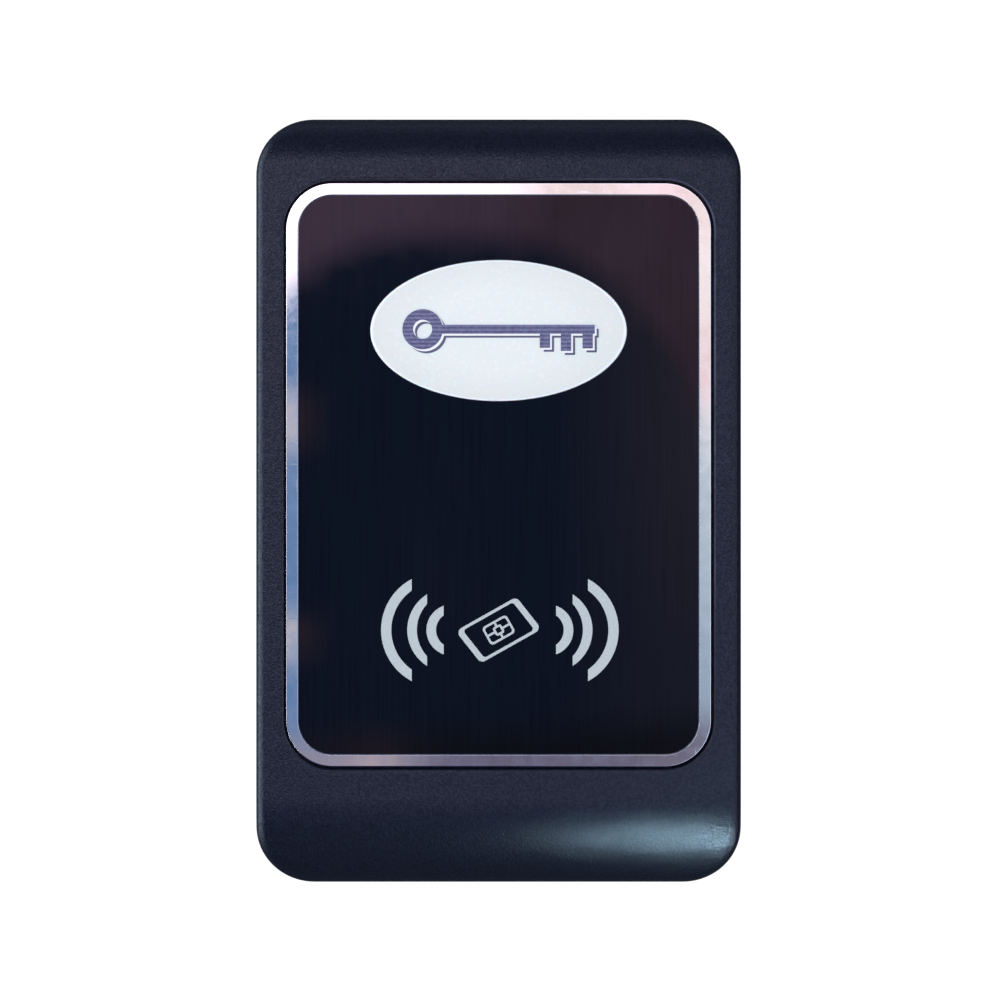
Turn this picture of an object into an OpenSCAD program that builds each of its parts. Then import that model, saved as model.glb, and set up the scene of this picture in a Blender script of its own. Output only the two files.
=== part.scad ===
// Wall-mounted RFID card reader: a die-cast front housing with its electronics,
// hooked over a steel wall plate and locked from below.
// X is across, -Y is the front, +Z is up. The origin is the centre of the wall plane.

/* [Housing] */
// Width of the housing
body_w = 76; // [74:0.5:84]
// Height of the housing
body_h = 120; // [119.5:0.5:128]
// Depth from the wall to the front of the trim ring
body_d = 22; // [21.5:0.5:26]
// Radius of the four corners, seen from the front
corner_r = 9; // [8:0.5:11]
// Radius that rolls the front over into the top
top_roll_r = 8.5; // [8:0.5:10]
// Height of the top roll, seen from the front
top_roll_h = 7.3; // [6:0.1:7.8]
// Radius that rolls the front over into the bottom
bottom_roll_r = 17; // [16:0.5:18]
// Height of the bottom roll, seen from the front
bottom_roll_h = 13.2; // [12:0.1:14]
// Radius of the long front edges
edge_r = 1.6; // [0.8:0.1:2.4]
// Thickness of the side walls
wall_t = 2.2; // [2:0.1:2.6]

/* [Panel] */
// Width over the trim ring
ring_w = 66.4; // [64:0.1:66.6]
// Height over the trim ring
ring_h = 91.2; // [90:0.1:92]
// Corner radius of the trim ring
ring_r = 7.2; // [6:0.1:8]
// Width of the ring's bright face
ring_t = 1.75; // [1.4:0.05:2]
// How far the ring stands proud of the housing
ring_proud = 0.3; // [0.2:0.05:0.6]
// Height of the panel's centre above the housing's centre
panel_z = 4.1; // [3.8:0.1:4.4]
// Width of the oval lens
oval_w = 40.2; // [36:0.1:41]
// Height of the oval lens
oval_h = 22.1; // [18:0.1:23]
// Height of the oval's centre
oval_z = 26.7; // [25:0.1:27.5]
// Height of the wave and card marks
mark_z = -20.2; // [-24:0.1:-16]

/* [Wall mounting] */
// Distance between the wall holes, across
hole_dx = 48; // [44:1:52]
// Distance between the wall holes, up and down
hole_dz = 84; // [78:1:88]
// Radius of the wall holes
hole_r = 2.25; // [2:0.05:2.75]
// Radius of the cable hole in the wall plate
cable_hole_r = 11; // [8:0.5:12]
// Bore radius of the cable grommet
grommet_bore_r = 3; // [2:0.25:3.5]
// Height of the cable's way in
cable_z = -14; // [-14:0.5:-10]

/* [Hidden] */
$fn = 96;
over = 1;                                 // how far a cutter runs past the face it cuts

// Planes across the depth, front to back
face_y = ring_proud - body_d;             // the housing's front
recess_y = face_y + 3;                    // floor of the panel's recess
inside_y = recess_y + 1.6;                // inner face of the front wall
panel_y = face_y + 0.2;                   // front of the panel and the lens
panel_back_y = panel_y + 2;
flange_y = panel_back_y + 0.2;            // front of the ring's flange
seat_y = -7.3;                            // ledge under the rear seal
cover_y = -6.5;                           // front of the rear cover
cover_back_y = -4.5;
rim_y = -0.4;                             // rear rim of the housing
top_rim_y = -1;                           // the same, set back where it swings to the wall
board_y = -12.6;                          // front of the board
board_back_y = -11;
plate_t = 1.5;

// Housing
top_z = body_h / 2;
bottom_z = -body_h / 2;
in_w = body_w - 2 * wall_t;               // inside, behind the seal's ledge
in_h = body_h - 2 * wall_t;
ledge = 1.2;                              // width of the seal's ledge
core_w = in_w - 2 * ledge;                // inside, in front of the ledge
core_top_z = in_h / 2 - ledge;
rib_top_z = -49.3;                        // rib between the electronics and the tab's pocket
rib_bottom_z = -50.8;
pocket_w = 24;
pocket_y = -12;
recess_gap = 0.4;                         // dark gap round the trim ring
window_w = 52;
window_h = 76;
window_r = 4;
setback_z = 54;
lip_w = 52;
lip_y = [-1.8, top_rim_y];                // the lip that hangs on the wall plate's hooks
lip_z = 55.2;

// Screws and their places, as [x, z]
board_w = 60;
board_h = 88;
board_posts = [[-26.5, 45.2], [26.5, 45.2], [-26.5, -37], [26.5, -37]];
cover_posts = [[-30, 52.5], [30, 52.5], [-30, -44.5], [30, -44.5]];
ring_pins = [for (sx = [-1, 1], sz = [-1, 1]) [sx * 29.9, panel_z + sz * 36]];
post_r = 2.6;
screw_r = 1.2;
screw_hole_r = 1.25;
screw_pass_r = 1.4;                       // clearance holes in the board and the cover
screw_head = [2.3, 1.4];                  // radius and height
cross_slot = [2.4, 0.6];
pin_r = 0.9;
pin_fit = 0.1;
clip_r = 2.2;
clip_t = 0.4;
cover_slack = 0.2;                        // round the rear cover and its seal

// Lock screw and the tab that it locks
lock_y = -6.5;
lock_r = 2;
lock_fit = 0.06;
lock_z = [-59.5, -54.5];                  // at rest, released
boss_r = 3.2;
boss_top_z = -54.3;
tab_z = [-53.5, -52];
tab_w = 14;
tab_y = -10;
foot_h = 8;                               // the bracket's foot on the wall plate

// Hooks at the top of the wall plate
plate_w = 68;
plate_z = [-53.5, 54];
hook_x = 18;
hook_w = 8;
hook_y = [-3.5, -2];
hook_top_z = 57;

// Tamper plunger
tamper = [-20, -30];                      // as [x, z]
plunger_r = 2;
plunger_y = [-9.1, -1.9];
collar_r = 3;
collar_y = [-8.5, -7.9];
switch_top_y = -10.1;

// Extrudes an outline drawn in X and Z from y0 back to y1.
module along_y(y0, y1) {
    translate([0, y1, 0]) rotate([90, 0, 0]) linear_extrude(y1 - y0) children();
}

// A round bar or bore along Y, placed by [x, z].
module rod_y(at, r, y0, y1) {
    along_y(y0, y1) translate(at) circle(r);
}

// A block placed by its centre [x, z], reaching from y0 back to y1.
module block(at, size, y0, y1) {
    translate([at[0] - size[0] / 2, y0, at[1] - size[1] / 2]) cube([size[0], y1 - y0, size[1]]);
}

module rounded_rect(w, h, r) {
    square([w - 2 * r, h], center = true);
    square([w, h - 2 * r], center = true);
    for (sx = [-1, 1], sz = [-1, 1])
        translate([sx * (w / 2 - r), sz * (h / 2 - r)]) circle(r);
}

// Housing

// The side view: flat front, a tight roll at the top and a wide one at the bottom.
module side_profile() {
    top_c = [face_y + top_roll_r, top_z - top_roll_h];
    bottom_c = [face_y + bottom_roll_r, bottom_z + bottom_roll_h];
    polygon([
        [face_y, bottom_c[1]], [face_y, top_c[1]], top_c, [top_c[0], top_z + over],
        [over, top_z + over], [over, bottom_z - over], [bottom_c[0], bottom_z - over], bottom_c
    ]);
    translate(top_c) circle(top_roll_r);
    translate(bottom_c) circle(bottom_roll_r);
}

// The plan view: rounded long front edges.
module plan_profile() {
    translate([-body_w / 2, face_y + edge_r]) square([body_w, -face_y - edge_r]);
    translate([edge_r - body_w / 2, face_y]) square([body_w - 2 * edge_r, -face_y]);
    for (sx = [-1, 1])
        translate([sx * (body_w / 2 - edge_r), face_y + edge_r]) circle(edge_r);
}

module housing_blank() {
    intersection() {
        along_y(face_y - over, rim_y) rounded_rect(body_w, body_h, corner_r);
        translate([-body_w / 2 - over, 0, 0]) rotate([90, 0, 90])
            linear_extrude(body_w + 2 * over) side_profile();
        translate([0, 0, bottom_z - over]) linear_extrude(body_h + 2 * over) plan_profile();
    }
}

// Room for the electronics, kept inside the two rolls.
module core_room() {
    skin = inside_y - face_y;
    intersection() {
        along_y(inside_y, over) union() {
            translate([-core_w / 2, rib_top_z]) square([core_w, 0.8 * (core_top_z - rib_top_z)]);
            translate([0, core_top_z / 2]) rounded_rect(core_w, core_top_z, corner_r - wall_t - ledge);
        }
        translate([-body_w / 2, 0, 0]) rotate([90, 0, 90]) linear_extrude(body_w) union() {
            translate([inside_y, -top_z]) square([-inside_y, body_h - top_roll_h]);
            translate([face_y + top_roll_r, -top_z]) square([-face_y, body_h]);
            translate([face_y + top_roll_r, top_z - top_roll_h]) circle(top_roll_r - skin);
        }
    }
}

module front_housing() {
    color([0.15, 0.17, 0.24]) {
        difference() {
            housing_blank();
            translate([0, 0, panel_z]) {
                along_y(face_y - over, recess_y)
                    rounded_rect(ring_w + 2 * recess_gap, ring_h + 2 * recess_gap, ring_r + recess_gap);
                along_y(recess_y - over, inside_y + over)
                    rounded_rect(window_w, window_h, window_r);
            }
            core_room();
            along_y(seat_y, over) rounded_rect(in_w, in_h, corner_r - wall_t);
            block([0, (rib_bottom_z - in_h / 2) / 2], [pocket_w, rib_bottom_z + in_h / 2], pocket_y, 0);
            block([0, (setback_z + top_z + over) / 2], [body_w + over, top_z + over - setback_z],
                top_rim_y, over);
            for (p = ring_pins) rod_y(p, pin_r + pin_fit, recess_y - over, inside_y + over);
            translate([0, lock_y, bottom_z - over]) cylinder(r = lock_r + lock_fit, h = wall_t + 2 * over);
        }
        for (p = board_posts) post(p, board_y);
        for (p = cover_posts) post(p, seat_y);
        block([0, (lip_z + top_z - wall_t / 2) / 2], [lip_w, top_z - wall_t / 2 - lip_z],
            lip_y[0], lip_y[1]);
        lock_boss();
    }
}

// A post on the inside of the front wall, drilled for a screw from behind.
module post(at, back_y) {
    difference() {
        rod_y(at, post_r, inside_y - 0.5, back_y);
        rod_y(at, screw_hole_r, inside_y + 0.3, back_y + over);
    }
}

module lock_boss() {
    difference() {
        translate([0, lock_y, bottom_z + wall_t / 2])
            cylinder(r = boss_r, h = boss_top_z - bottom_z - wall_t / 2);
        translate([0, lock_y, bottom_z - over])
            cylinder(r = lock_r + lock_fit, h = boss_top_z - bottom_z + 2 * over);
    }
}

// Front

module trim_ring() {
    color([0.85, 0.86, 0.9]) {
        translate([0, 0, panel_z]) {
            along_y(-body_d, recess_y) difference() {
                rounded_rect(ring_w, ring_h, ring_r);
                rounded_rect(ring_w - 2 * ring_t, ring_h - 2 * ring_t, ring_r - ring_t);
            }
            along_y(flange_y, recess_y) difference() {
                rounded_rect(ring_w - ring_t, ring_h - ring_t, ring_r - ring_t / 2);
                rounded_rect(window_w + 2, window_h + 2, window_r + 1);
            }
        }
        for (p = ring_pins) rod_y(p, pin_r, flange_y + 0.3, inside_y + 1.2);
    }
}

module ring_clips() {
    color([0.62, 0.63, 0.65])
        for (p = ring_pins)
            along_y(inside_y, inside_y + clip_t) translate(p) difference() {
                circle(clip_r);
                circle(pin_r);
            }
}

module oval(grow = 0) {
    scale([oval_w + 2 * grow, oval_h + 2 * grow]) circle(d = 1);
}

module front_panel() {
    slack = 0.1;
    color([0.03, 0.05, 0.13]) difference() {
        translate([0, 0, panel_z]) along_y(panel_y, panel_back_y)
            rounded_rect(ring_w - 2 * (ring_t + slack), ring_h - 2 * (ring_t + slack), ring_r - ring_t - slack);
        translate([0, 0, oval_z]) along_y(panel_y - over, panel_back_y + over) oval(0.05);
    }
}

module oval_lens() {
    color([0.94, 0.95, 0.97]) translate([0, 0, oval_z]) {
        along_y(panel_y, panel_back_y + 0.4) oval();
        along_y(panel_back_y, panel_back_y + 0.8) oval(1.2);
    }
}

ink = 0.1;                                // thickness of the printed marks

// A key, standing in for lettering: a bow with a round eye, a shank and three bits.
module key_symbol() {
    key_len = 30.1;
    bow_r = 3.15;
    eye_r = 1.5;
    shank_t = 1.4;
    bit_w = 1.6;
    bits = [[0.3, 2.3], [3.7, 2.7], [7, 2.2]];    // each one's place from the tip, and its length
    shank = key_len - bow_r;
    color([0.42, 0.45, 0.62])
        translate([bow_r - key_len / 2, 0, oval_z + 0.2]) along_y(panel_y - ink, panel_y) difference() {
            union() {
                circle(bow_r);
                translate([0, -shank_t / 2]) square([shank, shank_t]);
                for (bit = bits)
                    translate([shank - bit[0] - bit_w, -bit[1] - shank_t / 2])
                        square([bit_w, bit[1] + shank_t / 2]);
            }
            circle(eye_r);
        }
}

// One arc of a wave: its apex, its upright end cut and its half-heights outside and inside.
module wave(apex, cut, half, in_apex, in_half) {
    r_out = (pow(cut - apex, 2) + half * half) / (2 * (cut - apex));
    r_in = (pow(cut - in_apex, 2) + in_half * in_half) / (2 * (cut - in_apex));
    intersection() {
        difference() {
            translate([apex + r_out, 0]) circle(r_out);
            translate([in_apex + r_in, 0]) circle(r_in);
        }
        translate([apex - over, -2 * half]) square([cut - apex + over, 4 * half]);
    }
}

module wave_symbols() {
    color([0.86, 0.88, 0.92]) translate([0.2, 0, mark_z]) along_y(panel_y - ink, panel_y)
        for (side = [0, 1]) mirror([side, 0]) {
            wave(-18.6, -13.8, 8, -17, 6.2);
            wave(-14.5, -11.4, 5.6, -13, 4.1);
            wave(-11.5, -8.8, 3.8, -10, 2.3);
        }
}

module stroke(a, b, w) {
    run = b - a;
    translate((a + b) / 2) rotate(atan2(run[1], run[0])) square([norm(run), w], center = true);
    translate(a) circle(w / 2);
    translate(b) circle(w / 2);
}

// A leaning four-sided outline with round corners. Its sides are first brought in from size,
// by from_long and from_short, and it is then grown by the corner radius r.
module leaning_outline(size, turn, from_long, from_short, r) {
    lean = sin(turn[0] - turn[1]);
    long = (size[0] / 2 - from_short / lean) * [cos(turn[0]), sin(turn[0])];
    short = (size[1] / 2 - from_long / lean) * [cos(turn[1]), sin(turn[1])];
    corners = [-long - short, long - short, long + short, short - long];
    polygon(corners);
    for (i = [0:3]) stroke(corners[i], corners[(i + 1) % 4], 2 * r);
}

// A chip's contact pad: an outline, a centre piece and the lines between them.
module chip_pad() {
    pad = [4.4, 3.2];
    centre = [1.5, 1.5];
    line = 0.34;
    difference() {
        rounded_rect(pad[0], pad[1], 0.6);
        rounded_rect(pad[0] - 2 * line, pad[1] - 2 * line, 0.6 - line / 2);
    }
    difference() {
        rounded_rect(centre[0], centre[1], 0.4);
        square(centre - [2, 2] * line, center = true);
    }
    for (sx = [-1, 1]) translate([sx * (pad[0] + centre[0] - line) / 4, 0])
        square([(pad[0] - centre[0] - line) / 2, line], center = true);
    for (sz = [-1, 1]) translate([0, sz * (pad[1] + centre[1] - line) / 4])
        square([line, (pad[1] - centre[1] - line) / 2], center = true);
}

// A card seen at a slant, with a chip contact on it.
module card_symbol() {
    card = [10.9, 6.4];
    turn = [29.4, -51.7];                 // the way its long and short sides run
    long_t = 0.46;                        // thickness of the line along each
    short_t = 0.94;
    r = 0.9;
    inside_r = 0.5;
    color([0.86, 0.88, 0.92]) translate([0, 0, mark_z]) along_y(panel_y - ink, panel_y) {
        difference() {
            leaning_outline(card, turn, r, r, r);
            leaning_outline(card, turn, long_t + inside_r, short_t + inside_r, inside_r);
        }
        rotate(turn[0]) chip_pad();
    }
}

module panel_adhesive() {
    color([0.1, 0.1, 0.11]) translate([0, 0, panel_z]) along_y(panel_back_y, flange_y) difference() {
        rounded_rect(ring_w - 2 * ring_t - 0.4, ring_h - 2 * ring_t - 0.4, ring_r - ring_t - 0.2);
        rounded_rect(window_w + 2.4, window_h + 2.4, window_r + 1.2);
    }
}

// Electronics

module light_box() {
    wall = 1.2;
    size = [45, 26.6];
    color([0.93, 0.93, 0.91]) translate([0, 0, oval_z]) along_y(panel_back_y + 0.8, board_y) difference() {
        rounded_rect(size[0], size[1], 5);
        rounded_rect(size[0] - 2 * wall, size[1] - 2 * wall, 5 - wall);
    }
}

module backlight_leds() {
    color([0.95, 0.93, 0.75])
        for (x = [-13.5, -4.5, 4.5, 13.5]) block([x, oval_z], [3.5, 2.8], board_y - 1.9, board_y);
}

coil_size = [45, 37];                     // inside of the antenna's winding
coil_z = -11.5;
coil_y = [-18.1, -15.7];

module antenna_former() {
    cheek = 0.8;
    color([0.2, 0.2, 0.22]) translate([0, 0, coil_z]) {
        difference() {
            union() {
                along_y(coil_y[0] - cheek, coil_y[1] + cheek) rounded_rect(coil_size[0], coil_size[1], 4);
                for (y = [coil_y[0] - cheek, coil_y[1]])
                    along_y(y, y + cheek) rounded_rect(coil_size[0] + 4, coil_size[1] + 4, 6);
            }
            along_y(coil_y[0] - over - cheek, coil_y[1] + over + cheek)
                rounded_rect(coil_size[0] - 3, coil_size[1] - 3, 2.5);
        }
        for (sx = [-1, 1], sz = [-1, 1])
            rod_y([sx * 19, sz * (coil_size[1] / 2 + 0.3)], 1.2, coil_y[1] + cheek / 2, board_y);
    }
}

module antenna_coil() {
    color([0.72, 0.4, 0.2]) translate([0, 0, coil_z]) along_y(coil_y[0], coil_y[1]) difference() {
        rounded_rect(coil_size[0] + 3.4, coil_size[1] + 3.4, 5.7);
        rounded_rect(coil_size[0], coil_size[1], 4);
    }
}

module main_board() {
    color([0.05, 0.3, 0.16]) difference() {
        translate([0, 0, panel_z]) along_y(board_y, board_back_y) rounded_rect(board_w, board_h, 2);
        for (p = board_posts) rod_y(p, screw_pass_r, board_y - over, board_back_y + over);
    }
}

// A pan-head screw driven from behind, its head on the plane head_y.
module rear_screw(at, tip_y, head_y) {
    top_y = head_y + screw_head[1];
    difference() {
        union() {
            rod_y(at, screw_r, tip_y, head_y);
            rod_y(at, screw_head[0], head_y, top_y);
        }
        for (turn = [0, 90])
            along_y(top_y - screw_head[1] / 2, top_y + over) translate(at) rotate(turn)
                square(cross_slot, center = true);
    }
}

module board_screws() {
    color([0.7, 0.7, 0.72]) for (p = board_posts) rear_screw(p, board_y - 3.6, board_back_y);
}

module microcontroller() {
    at = [12, 2];
    color([0.1, 0.1, 0.11]) {
        block(at, [10, 10], board_back_y + 0.15, board_back_y + 1.5);
        for (turn = [0:90:270], i = [-3.5:1:3.5])
            translate([at[0], 0, at[1]]) rotate([0, turn, 0])
                block([i, 5.4], [0.4, 1.2], board_back_y, board_back_y + 0.3);
    }
}

module reader_chip() {
    at = [-9, 3];
    color([0.12, 0.12, 0.13]) {
        block(at, [7.5, 10.3], board_back_y + 0.2, board_back_y + 2.5);
        for (i = [-4.4:1.1:4.4]) block([at[0], at[1] + i], [10.3, 0.45], board_back_y, board_back_y + 0.5);
    }
}

module crystal() {
    color([0.78, 0.78, 0.8]) {
        block([-8, 18], [11.4, 4.7], board_back_y, board_back_y + 0.5);
        along_y(board_back_y, board_back_y + 3.4) translate([-8, 18]) rounded_rect(10.4, 3.9, 1.9);
    }
}

module electrolytic_capacitors() {
    color([0.8, 0.8, 0.82])
        for (at = [[22, 18], [22, 27]]) {
            block(at, [6.6, 6.6], board_back_y, board_back_y + 0.6);
            rod_y(at, 3.15, board_back_y, board_back_y + 4);
        }
}

module power_inductor() {
    color([0.22, 0.22, 0.24])
        along_y(board_back_y, board_back_y + 3.2) translate([11, 24]) rounded_rect(7.3, 7.3, 1.6);
}

module voltage_regulator() {
    color([0.13, 0.13, 0.14]) {
        block([-20, 28], [6.6, 6.1], board_back_y + 0.1, board_back_y + 2.4);
        block([-20, 32], [5.4, 3], board_back_y, board_back_y + 0.6);
        for (x = [-22.3, -17.7]) block([x, 23.6], [0.8, 3.4], board_back_y, board_back_y + 0.6);
    }
}

module chip_passives() {
    chip = [2, 1.25];
    color([0.55, 0.45, 0.35]) {
        for (x = [-18, -14, -10, 22, 26], z = [-8, -4.5]) block([x, z], chip, board_back_y, board_back_y + 0.6);
        for (x = [16, 20], z = [36, 39.5]) block([x, z], chip, board_back_y, board_back_y + 0.6);
        for (x = [-27.2, 27.2], z = [8, 12, 30]) block([x, z], chip, board_y - 0.6, board_y);
    }
}

module buzzer() {
    at = [-6, 38];
    color([0.08, 0.08, 0.09]) difference() {
        rod_y(at, 6, board_back_y, board_back_y + 3.8);
        rod_y(at, 1, board_back_y + 3, board_back_y + 4.8);
    }
}

module surge_diodes() {
    color([0.14, 0.14, 0.15])
        for (x = [-9, -3, 3, 9]) {
            block([x, -35.8], [2.6, 4.3], board_back_y + 0.1, board_back_y + 2.2);
            block([x, -35.8], [1.5, 5.2], board_back_y, board_back_y + 0.4);
        }
}

ways = 8;
pitch = 2.5;
header_at = [3, -27.5];

function way_x(i) = header_at[0] + (i - (ways - 1) / 2) * pitch;

module terminal_header() {
    size = [ways * pitch + 1, 6];
    depth = 4;
    color([0.1, 0.42, 0.24]) difference() {
        block(header_at, size, board_back_y, board_back_y + depth);
        for (i = [0:ways - 1]) {
            translate([way_x(i), board_back_y + 2.4, header_at[1] + 1]) cylinder(r = 0.75, h = 3);
            rod_y([way_x(i), header_at[1] - 1], 0.8, board_back_y + 3.2, board_back_y + depth + over);
            rod_y([way_x(i), header_at[1] - 1], 0.3, board_back_y - over, board_back_y + 2);
        }
    }
}

module header_pins() {
    color([0.85, 0.7, 0.35])
        for (i = [0:ways - 1]) rod_y([way_x(i), header_at[1] - 1], 0.3, board_back_y, board_back_y + 2);
}

// Tamper contact

module tamper_switch() {
    color([0.2, 0.2, 0.22]) {
        block(tamper, [6.2, 6.2], board_back_y, switch_top_y);
        rod_y(tamper, 1.5, board_back_y, switch_top_y + 0.6);
    }
}

module tamper_plunger() {
    color([0.9, 0.9, 0.88]) {
        rod_y(tamper, plunger_r - 0.4, plunger_y[0], collar_y[0] + 0.1);
        rod_y(tamper, plunger_r, collar_y[0], plunger_y[1]);
        rod_y(tamper, collar_r, collar_y[0], collar_y[1]);
    }
}

// A compression spring round the switch's button, from the switch up to the plunger's collar.
module tamper_spring() {
    wire = 0.16;
    sides = 8;
    per_turn = 24;
    turns = 3;
    r = 2.4;
    from_y = switch_top_y + wire;
    rise = collar_y[0] - wire - from_y;
    steps = turns * per_turn;
    points = [for (i = [0:steps], k = [0:sides - 1])
        let (a = 360 * i / per_turn, b = 360 * k / sides, reach = r + wire * cos(b))
            [tamper[0] + reach * cos(a), from_y + rise * i / steps + wire * sin(b), tamper[1] + reach * sin(a)]];
    walls = [for (i = [0:steps - 1], k = [0:sides - 1])
        let (n = (k + 1) % sides)
            [i * sides + k, i * sides + n, (i + 1) * sides + n, (i + 1) * sides + k]];
    color([0.75, 0.75, 0.78])
        polyhedron(points, concat(walls,
            [[for (k = [sides - 1:-1:0]) k], [for (k = [0:sides - 1]) steps * sides + k]]));
}

// Back

// Outline of everything that closes the back, down to the rib.
module cover_outline(slack) {
    top = in_h / 2 - slack;
    foot = rib_bottom_z + 0.1;
    r = corner_r - wall_t - slack;
    w = in_w - 2 * slack;
    translate([-w / 2, foot]) square([w, 0.8 * (top - foot)]);
    translate([0, top / 2]) rounded_rect(w, top, r);
}

module rear_cover() {
    color([0.13, 0.13, 0.14]) difference() {
        along_y(cover_y, cover_back_y) cover_outline(cover_slack);
        for (p = cover_posts) rod_y(p, screw_pass_r, cover_y - over, cover_back_y + over);
        rod_y(tamper, plunger_r + 0.06, cover_y - over, cover_back_y + over);
        rod_y([0, cable_z], grommet_bore_r + 1.5, cover_y - over, cover_back_y + over);
    }
}

module rear_seal() {
    color([0.06, 0.06, 0.06]) along_y(seat_y, cover_y) difference() {
        cover_outline(cover_slack);
        translate([0, (rib_top_z + core_top_z) / 2])
            rounded_rect(core_w, core_top_z - rib_top_z, 4);
    }
    color([0.06, 0.06, 0.06])
        for (p = cover_posts)
            along_y(seat_y, cover_y) translate(p) difference() {
                circle(post_r);
                circle(screw_pass_r);
            }
}

module rear_cover_screws() {
    color([0.7, 0.7, 0.72]) for (p = cover_posts) rear_screw(p, seat_y - 4, cover_back_y);
}

module cable_grommet() {
    neck_r = grommet_bore_r + 1.5;
    lip_r = neck_r + 1.6;
    color([0.05, 0.05, 0.05]) difference() {
        union() {
            rod_y([0, cable_z], lip_r, cover_y - 1, cover_y);
            rod_y([0, cable_z], neck_r, cover_y - 1, cover_back_y + 1.4);
            rod_y([0, cable_z], lip_r, cover_back_y, cover_back_y + 1.4);
        }
        rod_y([0, cable_z], grommet_bore_r, cover_y - 2, cover_back_y + 2.4);
    }
}

module wall_plate() {
    color([0.72, 0.73, 0.75]) {
        along_y(-plate_t, 0) difference() {
            translate([0, (plate_z[0] + plate_z[1]) / 2])
                rounded_rect(plate_w, plate_z[1] - plate_z[0], 5);
            for (sx = [-1, 1], sz = [-1, 1]) translate([sx * hole_dx / 2, sz * hole_dz / 2]) circle(hole_r);
            for (sz = [-1, 1]) translate([0, sz * 30]) circle(hole_r);
            translate([0, cable_z]) circle(cable_hole_r);
        }
        for (sx = [-1, 1]) {
            block([sx * hook_x, plate_z[1] - plate_t / 2], [hook_w, plate_t], hook_y[0], -plate_t);
            block([sx * hook_x, (plate_z[1] - plate_t + hook_top_z) / 2],
                [hook_w, hook_top_z - plate_z[1] + plate_t], hook_y[0], hook_y[1]);
        }
    }
}

// The angle that the lock screw goes up into, welded to the foot of the wall plate.
module lock_bracket() {
    t = tab_z[1] - tab_z[0];
    color([0.72, 0.73, 0.75]) difference() {
        union() {
            block([0, tab_z[0] + t / 2], [tab_w, t], tab_y, -plate_t);
            block([0, tab_z[0] + (t + foot_h) / 2], [tab_w, t + foot_h], -plate_t - t, -plate_t);
        }
        translate([0, lock_y, tab_z[0] - over]) cylinder(r = lock_r + 0.3, h = t + 2 * over);
    }
}

module lock_screw() {
    socket = 2;
    color([0.35, 0.35, 0.37]) translate([0, lock_y, 0]) difference() {
        translate([0, 0, lock_z[0]]) cylinder(r = lock_r, h = lock_z[1] - lock_z[0]);
        translate([0, 0, lock_z[0] - over]) cylinder(d = socket / cos(30), h = over + 2, $fn = 6);
    }
}

front_housing();
trim_ring();
ring_clips();
front_panel();
oval_lens();
key_symbol();
wave_symbols();
card_symbol();
panel_adhesive();
light_box();
backlight_leds();
antenna_former();
antenna_coil();
main_board();
board_screws();
microcontroller();
reader_chip();
crystal();
electrolytic_capacitors();
power_inductor();
voltage_regulator();
chip_passives();
buzzer();
surge_diodes();
terminal_header();
header_pins();
tamper_switch();
tamper_plunger();
tamper_spring();
rear_cover();
rear_seal();
rear_cover_screws();
cable_grommet();
wall_plate();
lock_bracket();
lock_screw();
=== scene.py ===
"""A wall-mounted RFID card reader: satin die-cast front, mirror-edged glossy panel, oval lens.

Metres, in the CAD model's frame: +X right, -Y front, +Z up, the wall at y = 0.
"""

import math

import bmesh
import bpy
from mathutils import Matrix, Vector


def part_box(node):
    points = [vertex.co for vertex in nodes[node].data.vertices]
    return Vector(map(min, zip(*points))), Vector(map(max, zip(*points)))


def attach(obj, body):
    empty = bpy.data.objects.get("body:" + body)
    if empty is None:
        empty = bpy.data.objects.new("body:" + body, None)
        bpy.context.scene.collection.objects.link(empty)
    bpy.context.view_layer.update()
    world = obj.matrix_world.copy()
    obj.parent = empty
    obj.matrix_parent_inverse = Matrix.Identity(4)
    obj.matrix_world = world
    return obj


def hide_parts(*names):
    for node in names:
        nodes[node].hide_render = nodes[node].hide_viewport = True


MM = 0.001

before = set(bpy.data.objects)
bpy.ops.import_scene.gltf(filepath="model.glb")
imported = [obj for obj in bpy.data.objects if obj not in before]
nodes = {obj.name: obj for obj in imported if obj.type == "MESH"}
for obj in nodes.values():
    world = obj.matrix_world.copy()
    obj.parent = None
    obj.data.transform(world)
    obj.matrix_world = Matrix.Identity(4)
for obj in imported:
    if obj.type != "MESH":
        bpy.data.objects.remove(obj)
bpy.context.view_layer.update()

# ---------------------------------------------------------------- driving sizes

housing_lo, housing_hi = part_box("front_housing")
ring_lo, ring_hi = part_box("trim_ring")
panel_lo, panel_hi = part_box("front_panel")
lens_lo, lens_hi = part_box("oval_lens")
cover_lo, cover_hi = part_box("rear_cover")
grommet_lo, grommet_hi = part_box("cable_grommet")
board_lo, board_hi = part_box("main_board")
lock_lo, lock_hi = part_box("lock_screw")

BODY_W = housing_hi[0] - housing_lo[0]
BODY_H = housing_hi[2] - housing_lo[2]
TOP_Z = housing_hi[2]
FOOT_Z = housing_lo[2]
FACE_Y = housing_lo[1]
RIM_Y = housing_hi[1]
TOP_RIM_Y = -1 * MM
SETBACK_Z, SETBACK_RUN = 54 * MM, 0.4 * MM
CORNER_R = 9 * MM
WALL = 2.2 * MM
EDGE_R = 1.6 * MM
TOP_ROLL_R, TOP_ROLL_H = 8.5 * MM, 7.3 * MM
FOOT_ROLL_R, FOOT_ROLL_H = 17 * MM, 13.2 * MM

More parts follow.
